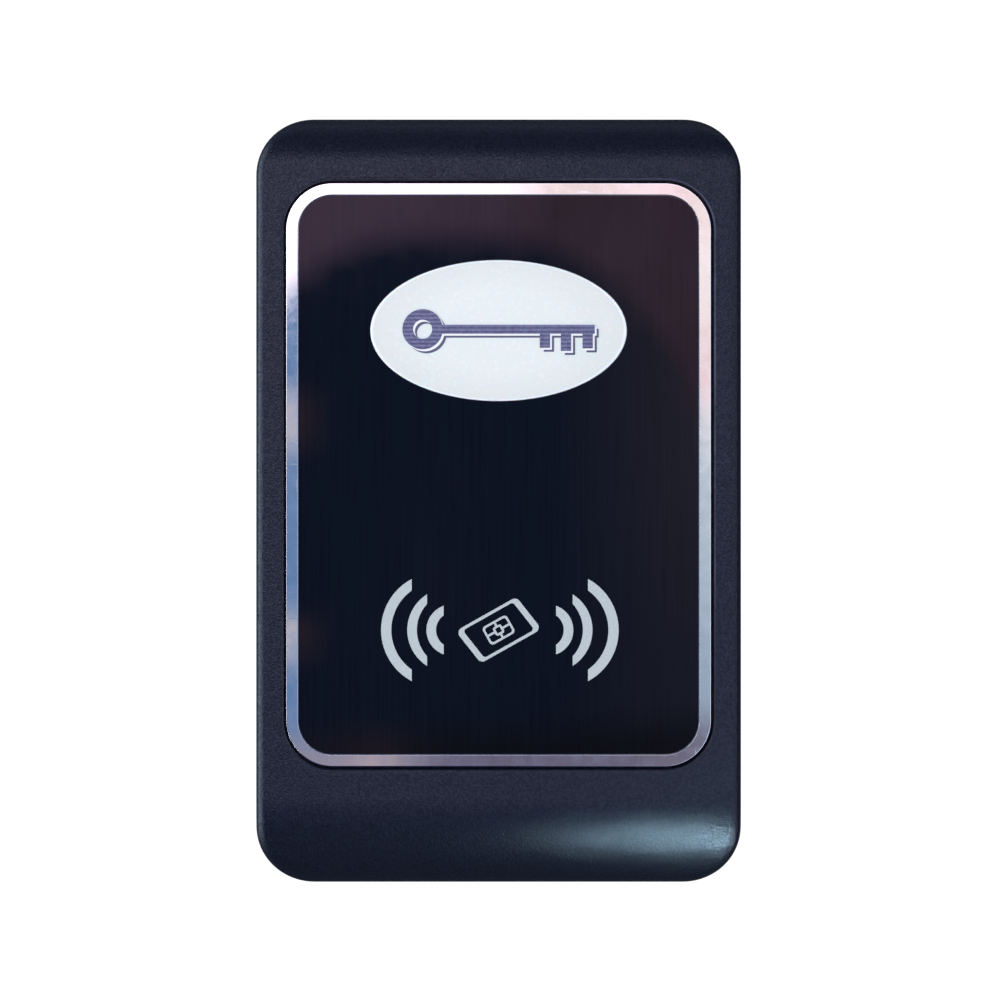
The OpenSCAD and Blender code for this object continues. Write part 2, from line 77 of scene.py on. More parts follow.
RING_W = ring_hi[0] - ring_lo[0]
RING_H = ring_hi[2] - ring_lo[2]
RING_R = 7.2 * MM
RING_T = 1.75 * MM
RING_Y = ring_lo[1]
PANEL_Z = (ring_lo[2] + ring_hi[2]) / 2
PANEL_Y = panel_lo[1]
PANEL_BACK_Y = panel_hi[1]
PANEL_W = panel_hi[0] - panel_lo[0]
PANEL_H = panel_hi[2] - panel_lo[2]
PANEL_R = 5.35 * MM
RECESS_GAP = 0.4 * MM
RECESS_Y = FACE_Y + 3 * MM
INSIDE_Y = RECESS_Y + 1.6 * MM
WINDOW = (52 * MM, 76 * MM, 4 * MM)
SEAT_Y = -7.3 * MM
LEDGE = 1.2 * MM
RIB_TOP_Z = -49.3 * MM
CORE_TOP_Z = BODY_H / 2 - WALL - LEDGE
LENS_Z = (lens_lo[2] + lens_hi[2]) / 2
LENS_W, LENS_H = 40.2 * MM, 22.1 * MM

READER = "reader"
AXIS_R = 0.02 * MM          # turned solids stop this short of their axis,
CUT_AXIS_R = 0.01 * MM      # and turned cutters this short


# ---------------------------------------------------------------- mesh helpers

LONG_STEPS, SHORT_STEPS, CORNER_STEPS = 84, 36, 20


def rounded_loop(w, h, r, cz=0.0):
    """(x, z) points round a rounded rectangle, anticlockwise from the foot of its right side.

    Every such loop has the same number of points, so loops can be joined into a skin.
    """
    across, up = w / 2 - r, h / 2 - r
    sides = [
        ((w / 2, -up), (w / 2, up), LONG_STEPS),
        ((across, h / 2), (-across, h / 2), SHORT_STEPS),
        ((-w / 2, up), (-w / 2, -up), LONG_STEPS),
        ((-across, -h / 2), (across, -h / 2), SHORT_STEPS),
    ]
    centres = [(across, up), (-across, up), (-across, -up), (across, -up)]
    points = []
    for turn, ((x0, z0), (x1, z1), steps) in enumerate(sides):
        for i in range(steps):
            t = i / steps
            points.append((x0 + (x1 - x0) * t, cz + z0 + (z1 - z0) * t))
        x, z = centres[turn]
        for i in range(CORNER_STEPS):
            a = math.pi / 2 * (turn + i / CORNER_STEPS)
            points.append((x + r * math.cos(a), cz + z + r * math.sin(a)))
    return points


def panel_loop(w, h, r, grow=0.0):
    """A rounded loop about the panel's middle, let out by grow on every side."""
    return rounded_loop(w + 2 * grow, h + 2 * grow, r + grow, PANEL_Z)


def loop_normals():
    """How far the outward normal points up or down at each point of a rounded loop, from 0 to 1."""
    out = []
    for turn, steps in enumerate((LONG_STEPS, SHORT_STEPS, LONG_STEPS, SHORT_STEPS)):
        out += [float(turn % 2)] * steps
        out += [abs(math.sin(math.pi / 2 * (turn + i / CORNER_STEPS))) for i in range(CORNER_STEPS)]
    return out


def at_y(loop, y):
    """A loop of (x, z) points as 3D points; y is a number or a function of (x, z, index)."""
    if callable(y):
        return [(x, y(x, z, i), z) for i, (x, z) in enumerate(loop)]
    return [(x, y, z) for x, z in loop]


def between(a, b, t):
    """The loop that lies the fraction t of the way from loop a to loop b."""
    return [tuple(p + (q - p) * t for p, q in zip(u, v)) for u, v in zip(a, b)]


def placed(name, data):
    """A new object in the scene."""
    obj = bpy.data.objects.new(name, data)
    bpy.context.scene.collection.objects.link(obj)
    return obj


def smooth(mesh, sharp=35):
    """Shades a mesh smooth, apart from the edges that turn by more than sharp degrees."""
    mesh.polygons.foreach_set("use_smooth", [True] * len(mesh.polygons))
    mesh.set_sharp_from_angle(angle=math.radians(sharp))


def skin(name, loops, capped=False, sharp=35):
    """A mesh through loops of equal length. The last loop joins the first, or both are capped."""
    n = len(loops[0])
    verts = [p for loop in loops for p in loop]
    faces = []
    for i in range(len(loops) - 1 if capped else len(loops)):
        a, b = i * n, (i + 1) % len(loops) * n
        for k in range(n):
            m = (k + 1) % n
            faces.append((a + k, a + m, b + m, b + k))
    if capped:
        last = (len(loops) - 1) * n
        faces += [tuple(range(n)), tuple(range(last, last + n))]
    mesh = bpy.data.meshes.new(name)
    mesh.from_pydata(verts, [], faces)
    bm = bmesh.new()
    bm.from_mesh(mesh)
    bmesh.ops.recalc_face_normals(bm, faces=bm.faces)
    bm.to_mesh(mesh)
    bm.free()
    smooth(mesh, sharp)
    return placed(name, mesh)


def circle_points(r, steps):
    """Points round a circle about the origin."""
    turns = [2 * math.pi * k / steps for k in range(steps)]
    return [(r * math.cos(a), r * math.sin(a)) for a in turns]


def turn_y(name, profile, x, z, steps=48, sharp=35):
    """Turns a closed profile of (radius, y) points round an axis along Y."""
    loops = [[(x + across, y, z + up) for across, up in circle_points(r, steps)] for r, y in profile]
    return skin(name, loops, sharp=sharp)


def turn_z(name, profile, x, y, steps=48, sharp=35):
    """Turns a closed profile of (radius, z) points round an upright axis."""
    loops = [[(x + across, y + deep, z) for across, deep in circle_points(r, steps)] for r, z in profile]
    return skin(name, loops, sharp=sharp)


def box_object(name, lo, hi, bevel=0.0):
    """A block, its edges rounded where a bevel is given."""
    bm = bmesh.new()
    bmesh.ops.create_cube(bm, size=1)
    centre = (Vector(lo) + Vector(hi)) / 2
    size = Vector(hi) - Vector(lo)
    for v in bm.verts:
        v.co = Vector(c * s for c, s in zip(v.co, size)) + centre
    if bevel:
        bmesh.ops.bevel(bm, geom=list(bm.edges), offset=bevel, segments=3, affect="EDGES", profile=0.5)
    mesh = bpy.data.meshes.new(name)
    bm.to_mesh(mesh)
    bm.free()
    smooth(mesh)
    return placed(name, mesh)


def join(name, objs):
    """One object from several, at the origin, keeping their smoothing."""
    bm = bmesh.new()
    for o in objs:
        bm.from_mesh(o.data)
    mesh = bpy.data.meshes.new(name)
    bm.to_mesh(mesh)
    bm.free()
    for o in objs:
        old = o.data
        bpy.data.objects.remove(o)
        bpy.data.meshes.remove(old)
    return placed(name, mesh)


def cut(obj, cutter, sharp=35):
    """Takes cutter's volume out of obj."""
    modifier = obj.modifiers.new("cut", "BOOLEAN")
    modifier.operation = "DIFFERENCE"
    modifier.solver = "EXACT"
    modifier.object = cutter
    bpy.context.view_layer.update()
    evaluated = obj.evaluated_get(bpy.context.evaluated_depsgraph_get())
    mesh = bpy.data.meshes.new_from_object(evaluated)
    obj.modifiers.clear()
    old, obj.data = obj.data, mesh
    bpy.data.meshes.remove(old)
    spare = cutter.data
    bpy.data.objects.remove(cutter)
    bpy.data.meshes.remove(spare)
    smooth(obj.data, sharp)


# ---------------------------------------------------------------- material helpers


class Surface:
    """A Principled material and the few node patterns that every surface here is made from."""

    def __init__(self, name, colour, roughness, metallic=0.0, **sockets):
        self.m = bpy.data.materials.new(name)
        self.m.use_nodes = True
        self.m.diffuse_color = (*colour, 1)
        self.tree = self.m.node_tree
        self.shader = self.tree.nodes["Principled BSDF"]
        self.shader.inputs["Base Color"].default_value = (*colour, 1)
        self.shader.inputs["Roughness"].default_value = roughness
        self.shader.inputs["Metallic"].default_value = metallic
        for key, value in sockets.items():
            self.shader.inputs[key.replace("_", " ")].default_value = value
        self.coord = self.tree.nodes.new("ShaderNodeTexCoord").outputs["Object"]

    def node(self, kind, inputs=(), **settings):
        """A node of this kind. An input's value is a plain value, or a socket to link from."""
        made = self.tree.nodes.new(kind)
        for key, value in settings.items():
            setattr(made, key, value)
        for key, value in dict(inputs).items():
            if isinstance(value, bpy.types.NodeSocket):
                self.tree.links.new(value, made.inputs[key])
            else:
                made.inputs[key].default_value = value
        return made

    def noise(self, scale, stretch=(1, 1, 1), detail=3, roughness=0.5):
        """Noise of scale features a metre, from 0 to 1, drawn out along an axis by stretch."""
        place = self.node("ShaderNodeMapping", {"Vector": self.coord, "Scale": stretch})
        return self.node("ShaderNodeTexNoise", {
            "Vector": place.outputs[0], "Scale": scale, "Detail": detail, "Roughness": roughness,
        }).outputs["Fac"]

    def cells(self, scale):
        """Scattered cells, scale of them a metre."""
        return self.node("ShaderNodeTexVoronoi", {"Vector": self.coord, "Scale": scale})

    def place(self):
        """The coordinates X, Y and Z, in metres."""
        return self.node("ShaderNodeSeparateXYZ", {"Vector": self.coord}).outputs

    def spread(self, value, low, high, to_low=0.0, to_high=1.0):
        """Takes low..high to to_low..to_high, clamped."""
        return self.node("ShaderNodeMapRange", {
            "Value": value, "From Min": low, "From Max": high, "To Min": to_low, "To Max": to_high,
        }).outputs["Result"]

    def mix(self, factor, a, b):
        """Mixes two colours. The factor and the colours are plain values or sockets."""
        factor_in, a_in, b_in, colour_out = 0, 6, 7, 2      # the node's places for a colour mix
        made = self.tree.nodes.new("ShaderNodeMix")
        made.data_type = "RGBA"
        for place, value in ((factor_in, factor), (a_in, a), (b_in, b)):
            if isinstance(value, bpy.types.NodeSocket):
                self.tree.links.new(value, made.inputs[place])
            else:
                made.inputs[place].default_value = value if place == factor_in else (*value, 1)
        return made.outputs[colour_out]

    def math(self, operation, a, b=0.0):
        """One sum, on plain values or sockets."""
        made = self.tree.nodes.new("ShaderNodeMath")
        made.operation = operation
        for i, value in enumerate((a, b)):
            if isinstance(value, bpy.types.NodeSocket):
                self.tree.links.new(value, made.inputs[i])
            else:
                made.inputs[i].default_value = value
        return made.outputs[0]

    def plus(self, a, b):
        return self.math("ADD", a, b)

    def minus(self, a, b):
        return self.math("SUBTRACT", a, b)

    def times(self, a, b):
        return self.math("MULTIPLY", a, b)

    def set(self, socket, value):
        """Links a value to one of the shader's own sockets."""
        self.tree.links.new(value, self.shader.inputs[socket])

    def bump(self, *layers):
        """Each layer is (height, depth in metres)."""
        normal = None
        for height, depth in layers:
            made = self.node("ShaderNodeBump", {"Height": height, "Distance": depth, "Strength": 1.0})
            if normal is not None:
                self.tree.links.new(normal, made.inputs["Normal"])
            normal = made.outputs["Normal"]
        self.set("Normal", normal)


def tint(colour, k):
    """A colour made k times as bright, and no brighter than 1."""
    return tuple(min(c * k, 1.0) for c in colour)


def plain(name, colour, roughness, metallic=0.0, *, grain, depth, vary=0.12):
    """A moulded, cast or drawn material: broad mottling, uneven gloss and a fine grain."""
    s = Surface(name, colour, roughness, metallic)
    broad = s.noise(70, detail=4)
    fine = s.noise(grain)
    s.set("Base Color", s.mix(s.spread(broad, 0.3, 0.7), tint(colour, 1 - vary), tint(colour, 1 + vary)))
    s.set("Roughness", s.spread(fine, 0.3, 0.7, roughness * 0.85, min(roughness * 1.18, 1)))
    s.bump((fine, depth))
    return s.m


# ---------------------------------------------------------------- materials

def satin_paint():
    """Blue-black satin paint: a fine leathery grain, an uneven gloss and a few pale specks.

    A broken painted highlight runs along the recess's lip, on the right and most of all up there,
    and painted light makes the gap above the trim ring greyer.
    """
    colour, speck_grey = (0.0030, 0.0043, 0.0102), (0.13, 0.15, 0.19)
    # the colours of the lip's painted highlight and of the painted light in the gap above the ring
    lip_highlight_blue, groove_light_grey = (0.062, 0.070, 0.125), (0.026, 0.024, 0.036)
    line_at, line_half, line_core = 0.66 * MM, 0.2 * MM, 0.08 * MM
    s = Surface("satin_paint", colour, 0.36, Specular_IOR_Level=0.23, Specular_Tint=(0.72, 0.84, 1.0, 1))
    broad = s.noise(45, detail=3)
    grain = s.noise(2900, detail=2, roughness=0.6)
    fine = s.noise(6500, detail=1)
    base = s.mix(s.spread(grain, 0.34, 0.66), tint(colour, 0.9), tint(colour, 1.8))
    dust = s.cells(210)
    near, few = s.spread(dust.outputs["Distance"], 0.11, 0.05), s.spread(dust.outputs["Color"], 0.9, 0.94)
    base = s.mix(s.times(s.times(near, few), 0.5), base, speck_grey)

    place = s.place()
    x, z = place["X"], place["Z"]
    from_middle = s.math("ABSOLUTE", s.minus(z, PANEL_Z))
    beside = s.math("MAXIMUM", s.minus(s.math("ABSOLUTE", x), RING_W / 2 - RING_R), 0)
    above = s.math("MAXIMUM", s.minus(from_middle, RING_H / 2 - RING_R), 0)
    off = s.math("SQRT", s.plus(s.times(beside, beside), s.times(above, above)))
    gap = s.minus(off, RING_R)                   # how far outside the trim ring
    front = s.spread(place["Y"], FACE_Y + 1 * MM, FACE_Y + 0.5 * MM)
    line = s.spread(s.math("ABSOLUTE", s.minus(gap, line_at)), line_half, line_core)
    towards = s.spread(s.plus(x, s.times(z, 0.35)), 22 * MM, 36 * MM)
    broken = s.spread(s.noise(120, detail=4), 0.38, 0.56, 0.35, 1.0)
    # painted highlight: a broken bluish glint along the recess's lip, brightest towards the upper right
    base = s.mix(s.times(s.times(line, front), s.times(towards, broken)), base, lip_highlight_blue)
    # painted light: the paint in the gap above the trim ring is made greyer, at the top only
    groove = s.times(s.spread(gap, 0.85 * MM, 0.55 * MM), s.spread(z, 44 * MM, 49 * MM))
    base = s.mix(s.times(groove, front), base, groove_light_grey)

    s.set("Base Color", base)
    s.set("Specular IOR Level", s.spread(s.noise(2700, detail=2), 0.36, 0.64, 0.17, 0.29))
    s.set("Roughness", s.spread(s.plus(grain, s.times(broad, 0.3)), 0.4, 0.95, 0.27, 0.38))
    s.bump((s.noise(900), 9e-6), (grain, 74e-6), (fine, 8e-6))
    return s.m


def panel_gloss():
    """Glossy near-black plastic with fine upright brushed lines that catch its reflections."""
    colour, shine = (0.0002, 0.0020, 0.0018), (0.84, 0.58, 0.95)
    s = Surface("panel_gloss", colour, 0.03, Specular_IOR_Level=0.39)
    lines = s.noise(2600, (1, 1, 0.018), detail=3, roughness=0.6)
    broad = s.noise(60, (1, 1, 0.35))
    base = s.mix(s.spread(lines, 0.32, 0.68), tint(colour, 0.6), tint(colour, 1.5))
    s.set("Base Color", s.mix(s.spread(broad, 0.35, 0.65, 0.0, 0.3), base, tint(colour, 1.6)))
    s.set("Specular Tint", s.mix(s.spread(lines, 0.3, 0.7), tint(shine, 0.93), tint(shine, 1.07)))
    s.set("Roughness", s.spread(s.noise(240), 0.3, 0.7, 0.02, 0.05))
    s.bump((s.noise(700, (1, 1, 0.05)), 0.05e-6))
    return s.m


def mirror_trim():
    """Bright mirror plating with a faint haze and hairline scratches across it."""
    colour = (0.90, 0.905, 0.93)
    s = Surface("mirror_trim", colour, 0.04, 1.0)
    haze = s.noise(420, detail=4, roughness=0.65)
    hairs = s.noise(1500, (1, 1, 0.06), detail=2)
    hairs_across = s.noise(1500, (0.06, 1, 1), detail=2)
    scratch = s.math("MAXIMUM", s.spread(hairs, 0.68, 0.74), s.spread(hairs_across, 0.68, 0.74))
    base = s.mix(s.spread(haze, 0.3, 0.7), tint(colour, 0.9), colour)
    s.set("Base Color", s.mix(s.times(scratch, 0.5), base, (0.7, 0.72, 0.76)))
    s.set("Roughness", s.plus(s.spread(haze, 0.3, 0.75, 0.02, 0.075), s.times(scratch, 0.12)))
    s.bump((scratch, 0.4e-6))
    return s.m


def opal_lens():
    """White opal plastic, with painted shade towards its edge and a painted highlight round its rim."""
    colour, rim = (0.775, 0.82, 0.775), (0.9, 0.92, 0.93)
    s = Surface("opal_lens", colour, 0.24, Specular_IOR_Level=0.45,
                Subsurface_Weight=0.3, Subsurface_Scale=1 * MM)
    place = s.place()
    x = s.times(place["X"], 2 / LENS_W)
    z = s.times(s.minus(place["Z"], LENS_Z), 2 / LENS_H)
    out = s.math("SQRT", s.plus(s.times(x, x), s.times(z, z)))     # 0 at the centre, 1 at the rim
    broad = s.noise(60, detail=3)
    fine = s.noise(1400)
    base = s.mix(s.spread(broad, 0.3, 0.7), tint(colour, 0.99), tint(colour, 1.01))
    # painted shade: greyer towards the edge
    base = s.mix(s.spread(out, 0.55, 0.97), base, tint(colour, 0.93))
    # painted highlight: a bright band at the rim
    s.set("Base Color", s.mix(s.spread(out, 0.972, 0.985), base, rim))
    s.set("Roughness", s.spread(fine, 0.3, 0.7, 0.2, 0.3))
    s.bump((fine, 0.25e-6))
    return s.m


def white_ink():
    """Pale grey ink with an uneven gloss."""
    colour = (0.468, 0.533, 0.525)
    s = Surface("white_ink", colour, 0.38)
    fine = s.noise(3200, detail=2)
    s.set("Base Color", s.mix(s.spread(fine, 0.3, 0.7), tint(colour, 0.93), tint(colour, 1.05)))
    s.set("Roughness", s.spread(fine, 0.3, 0.7, 0.32, 0.45))
    s.bump((fine, 1.5e-6))
    return s.m


def hatched_ink():
    """Grey-violet ink laid down in fine level lines, broken up by noise."""
    dark, light = (0.055, 0.06, 0.14), (0.17, 0.18, 0.32)
    line_pitch = 0.62 * MM
    s = Surface("hatched_ink", dark, 0.4)
    wave = s.math("SINE", s.times(s.place()["Z"], 2 * math.pi / line_pitch))
    rough = s.noise(2200, detail=2)
    lines = s.plus(s.times(wave, 0.32), s.times(rough, 1.1))
    s.set("Base Color", s.mix(s.spread(lines, 0.25, 0.95), dark, light))
    s.set("Roughness", s.spread(rough, 0.3, 0.7, 0.32, 0.48))
    s.bump((rough, 1.2e-6))
    return s.m


def brushed_steel():
    """Rolled and brushed steel: long fine lines, with cloudy patches and a few handling marks."""
    colour, roughness = (0.56, 0.565, 0.575), 0.33
    s = Surface("stainless", colour, roughness, 1.0)
    lines = s.noise(2400, (0.03, 1, 1), detail=3, roughness=0.7)
    cloud = s.noise(38, detail=5, roughness=0.6)
    marks = s.noise(320, (1, 1, 0.15), detail=2)
    base = s.mix(s.spread(lines, 0.3, 0.7), tint(colour, 0.86), tint(colour, 1.1))
    s.set("Base Color", s.mix(s.spread(cloud, 0.42, 0.62, 0, 0.35), base, tint(colour, 0.78)))
    wear = s.times(s.spread(marks, 0.62, 0.7), 0.12)
    s.set("Roughness", s.plus(s.spread(lines, 0.3, 0.7, roughness - 0.07, roughness + 0.1), wear))
    s.bump((lines, 1.2e-6))
    return s.m


def circuit_board():
    """Green solder mask over tracks that show through as a lighter, raised grid."""
    mask, track = (0.012, 0.105, 0.045), (0.03, 0.2, 0.08)
    s = Surface("circuit_board", mask, 0.3, Specular_IOR_Level=0.5)
    place = s.node("ShaderNodeMapping", {"Vector": s.coord, "Scale": (1, 0, 1)})
    brick = s.node("ShaderNodeTexBrick", {
        "Vector": place.outputs[0], "Scale": 210, "Mortar Size": 0.12, "Mortar Smooth": 0.1,
    }, offset=0.37, squash=1.6, squash_frequency=3)
    broad = s.noise(120, detail=4)
    lines = s.times(brick.outputs["Fac"], s.spread(broad, 0.42, 0.5))
    s.set("Base Color", s.mix(lines, mask, track))
    s.set("Roughness", s.spread(s.noise(900), 0.3, 0.7, 0.24, 0.38))
    s.bump((lines, 18e-6))
    return s.m


def wound_copper():
    """Enamelled wire laid in even turns round the former, with painted shade in the hollows between turns."""
    dark, light = (0.24, 0.075, 0.03), (0.72, 0.3, 0.13)
    s = Surface("wound_copper", light, 0.28, 0.9)
    wire_pitch = 0.3 * MM
    turns = s.math("SINE", s.times(s.place()["Y"], 2 * math.pi / wire_pitch))
    uneven = s.noise(500, detail=2)
    height = s.plus(turns, s.times(uneven, 0.6))
    # painted shade: the colour darkens where the turns dip
    s.set("Base Color", s.mix(s.spread(height, -0.8, 1.3), dark, light))
    s.set("Roughness", s.spread(uneven, 0.3, 0.7, 0.22, 0.36))
    s.bump((s.spread(height, -1, 1.6), 50e-6))
    return s.m


paint = satin_paint()
steel = brushed_steel()
zinc = plain("zinc_plate", (0.5, 0.51, 0.53), 0.34, 1.0, grain=2200, depth=2e-6)
dark_steel = plain("black_oxide", (0.055, 0.055, 0.06), 0.36, 0.9, grain=2600, depth=2e-6)
black_plastic = plain("black_moulding", (0.022, 0.022, 0.025), 0.55, grain=1700, depth=14e-6)
grey_plastic = plain("grey_moulding", (0.055, 0.055, 0.06), 0.5, grain=1800, depth=8e-6)
white_plastic = plain("white_moulding", (0.78, 0.78, 0.75), 0.45, grain=1500, depth=5e-6, vary=0.04)
acetal = plain("white_acetal", (0.74, 0.74, 0.71), 0.36, grain=1200, depth=3e-6, vary=0.04)
green_plastic = plain("green_moulding", (0.02, 0.16, 0.07), 0.4, grain=1500, depth=5e-6)
rubber = plain("black_rubber", (0.018, 0.018, 0.018), 0.72, grain=1300, depth=16e-6, vary=0.2)
foam = plain("foam_tape", (0.025, 0.025, 0.027), 0.85, grain=2600, depth=30e-6, vary=0.25)
epoxy = plain("chip_epoxy", (0.02, 0.02, 0.022), 0.5, grain=3200, depth=6e-6)
can = plain("drawn_can", (0.62, 0.63, 0.65), 0.3, 1.0, grain=2400, depth=2e-6)
ferrite = plain("ferrite", (0.05, 0.05, 0.055), 0.6, grain=2600, depth=14e-6, vary=0.2)
ceramic = plain("chip_ceramic", (0.27, 0.19, 0.12), 0.45, grain=2600, depth=4e-6, vary=0.25)
gold = plain("gold_flash", (0.83, 0.6, 0.24), 0.25, 1.0, grain=2600, depth=1e-6)
led = plain("led_body", (0.82, 0.79, 0.55), 0.22, grain=1500, depth=2e-6, vary=0.05)


# ---------------------------------------------------------------- front housing

def roll_y(z):
    """The front's depth at a height: flat, with a tight roll at the top and a wide one below."""
    for centre_z, r, sign in (
        (TOP_Z - TOP_ROLL_H, TOP_ROLL_R, 1),
        (FOOT_Z + FOOT_ROLL_H, FOOT_ROLL_R, -1),
    ):
        past = (z - centre_z) * sign
        if past > 0:
            return FACE_Y + r - math.sqrt(r * r - past * past)
    return FACE_Y


def rim_y(z):
    """The rear rim is set back at the top, where it swings towards the wall."""
    t = min(max((z - SETBACK_Z) / SETBACK_RUN, 0), 1)
    return RIM_Y + (TOP_RIM_Y - RIM_Y) * t


def housing_skin():
    """The front's whole skin, from the window's front edge out round the rim and back inside."""
    lip_r, lip_depth = 0.4 * MM, 0.6 * MM
    face_steps, edge_steps, lip_steps = 26, 9, 5
    slopes = loop_normals()
    recess = (RING_W + 2 * RECESS_GAP, RING_H + 2 * RECESS_GAP, RING_R + RECESS_GAP)

    def outline(inset):
        return rounded_loop(BODY_W - 2 * inset, BODY_H - 2 * inset, CORNER_R - inset)

    def edge_depth(i):
        """The long edges are well rounded; the top and foot, already rolled, only just."""
        return EDGE_R * (1 - 0.7 * slopes[i])

    loops = [
        at_y(panel_loop(*WINDOW), RECESS_Y),
        at_y(panel_loop(*recess), RECESS_Y),
        at_y(panel_loop(*recess), FACE_Y + lip_r + lip_depth),
    ]
    for i in range(lip_steps + 1):
        a = math.pi / 2 * i / lip_steps
        loops.append(at_y(panel_loop(*recess, lip_r * (1 - math.cos(a))), FACE_Y + lip_r * (1 - math.sin(a))))
    inner, outer = panel_loop(*recess, lip_r), outline(EDGE_R)
    for i in range(1, face_steps):
        loops.append(at_y(between(inner, outer, i / face_steps), lambda x, z, k: roll_y(z)))
    for i in range(edge_steps + 1):
        a = math.pi / 2 * i / edge_steps
        drop = 1 - math.cos(a)
        loops.append(at_y(outline(EDGE_R * (1 - math.sin(a))),
                          lambda x, z, k: roll_y(z) + edge_depth(k) * drop))
    wall = outline(0)
    chamfer, core_r = 0.25 * MM, 4 * MM
    for t in (0.35, 0.7):
        loops.append(at_y(wall, lambda x, z, k: (roll_y(z) + edge_depth(k)) * (1 - t) + rim_y(z) * t))
    loops.append(at_y(wall, lambda x, z, k: rim_y(z) - chamfer))
    loops.append(at_y(outline(chamfer), lambda x, z, k: rim_y(z)))
    loops.append(at_y(outline(WALL - chamfer), lambda x, z, k: rim_y(z)))
    loops.append(at_y(outline(WALL), lambda x, z, k: rim_y(z) - chamfer))
    loops.append(at_y(outline(WALL), SEAT_Y))
    core = rounded_loop(
        BODY_W - 2 * (WALL + LEDGE), CORE_TOP_Z - RIB_TOP_Z, core_r, (CORE_TOP_Z + RIB_TOP_Z) / 2
    )
    loops.append(at_y(core, SEAT_Y))
    loops.append(at_y(core, INSIDE_Y))
    loops.append(at_y(panel_loop(*WINDOW), INSIDE_Y))
    return skin("housing_skin", loops)


POST_R = 2.6 * MM
BORE_R = 1.25 * MM
LOCK_Y = (lock_lo[1] + lock_hi[1]) / 2
LOCK_R = (lock_hi[0] - lock_lo[0]) / 2
BOSS_TOP_Z = -54.3 * MM
BOSS_R = 3.2 * MM
POCKET_X = 12 * MM
POCKET_FRONT_Y = -12 * MM
POCKET_TOP_Z = -50.8 * MM
LIP_X = 26 * MM
LIP_FRONT_Y = -1.8 * MM
LIP_FOOT_Z = 55.2 * MM
PIN_X, PIN_Z = 29.9 * MM, 36 * MM
PIN_R = 0.9 * MM
PIN_HOLE_R = 1 * MM


def corners(x, top_z, foot_z):
    """Places of four screws as (x, z), two at the top and two at the foot."""
    return [(side * x, z) for z in (top_z, foot_z) for side in (-1, 1)]


BOARD_POSTS = corners(26.5 * MM, 45.2 * MM, -37 * MM)
COVER_POSTS = corners(30 * MM, 52.5 * MM, -44.5 * MM)
PIN_PLACES = [(sx * PIN_X, PANEL_Z + sz * PIN_Z) for sx in (-1, 1) for sz in (-1, 1)]


def post(x, z, back_y):
    """A screw post on the inside of the front, with a blind hole from behind."""
    c = 0.2 * MM
    root_y, floor_y = INSIDE_Y - 0.5 * MM, INSIDE_Y + 0.3 * MM
    return turn_y("post", [
        (POST_R, root_y), (POST_R, back_y - c), (POST_R - c, back_y), (BORE_R + c, back_y),
        (BORE_R, back_y - c), (BORE_R, floor_y), (AXIS_R, floor_y), (AXIS_R, root_y),
    ], x, z, steps=32)


def front_housing():
    """The painted front, with its posts, the lock screw's bore and boss, and the lip for the hooks."""
    body = housing_skin()
    over = 1 * MM
    bore_r = LOCK_R + 0.06 * MM
    bore_end_z = FOOT_Z + WALL + 0.2 * MM
    cutters = [
        box_object("pocket", (-POCKET_X, POCKET_FRONT_Y, FOOT_Z + WALL),
                   (POCKET_X, RIM_Y + over, POCKET_TOP_Z)),
        turn_z("bore", [(CUT_AXIS_R, FOOT_Z - over), (bore_r, FOOT_Z - over),
                        (bore_r, bore_end_z), (CUT_AXIS_R, bore_end_z)], 0, LOCK_Y),
    ]
    cutters += [
        turn_y("pin_hole", [(CUT_AXIS_R, RECESS_Y - over), (PIN_HOLE_R, RECESS_Y - over),
                            (PIN_HOLE_R, INSIDE_Y + over), (CUT_AXIS_R, INSIDE_Y + over)], x, z, steps=24)
        for x, z in PIN_PLACES
    ]
    for cutter in cutters:
        cut(body, cutter)
    extras = [post(x, z, board_lo[1]) for x, z in BOARD_POSTS]
    extras += [post(x, z, SEAT_Y) for x, z in COVER_POSTS]
    extras.append(box_object("lip", (-LIP_X, LIP_FRONT_Y, LIP_FOOT_Z),
                             (LIP_X, TOP_RIM_Y, TOP_Z - WALL + 0.3 * MM), bevel=0.15 * MM))
    extras.append(turn_z("boss", [
        (bore_r, FOOT_Z + WALL / 2), (BOSS_R, FOOT_Z + WALL / 2), (BOSS_R, BOSS_TOP_Z - 0.3 * MM),
        (BOSS_R - 0.3 * MM, BOSS_TOP_Z), (bore_r + 0.2 * MM, BOSS_TOP_Z), (bore_r, BOSS_TOP_Z - 0.2 * MM),
    ], 0, LOCK_Y))
    whole = join("housing", [body, *extras])
    smooth(whole.data)
    whole.data.materials.append(paint)
    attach(whole, READER)
    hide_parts("front_housing")
    return whole


housing = front_housing()


# ---------------------------------------------------------------- ring, panel and lens

FLAT_FROM = 0.04 * MM   # a narrow strip beside each bevel, so that the face within it shades flat


def bevelled_edge(w, h, r, y, size, steps=4):
    """Loops that round the front edge of an outline over, from its side to its face."""
    out = []
    for i in range(steps + 1):
        a = math.pi / 2 * i / steps
        out.append(at_y(panel_loop(w, h, r, -size * (1 - math.cos(a))), y + size * (1 - math.sin(a))))
    return out


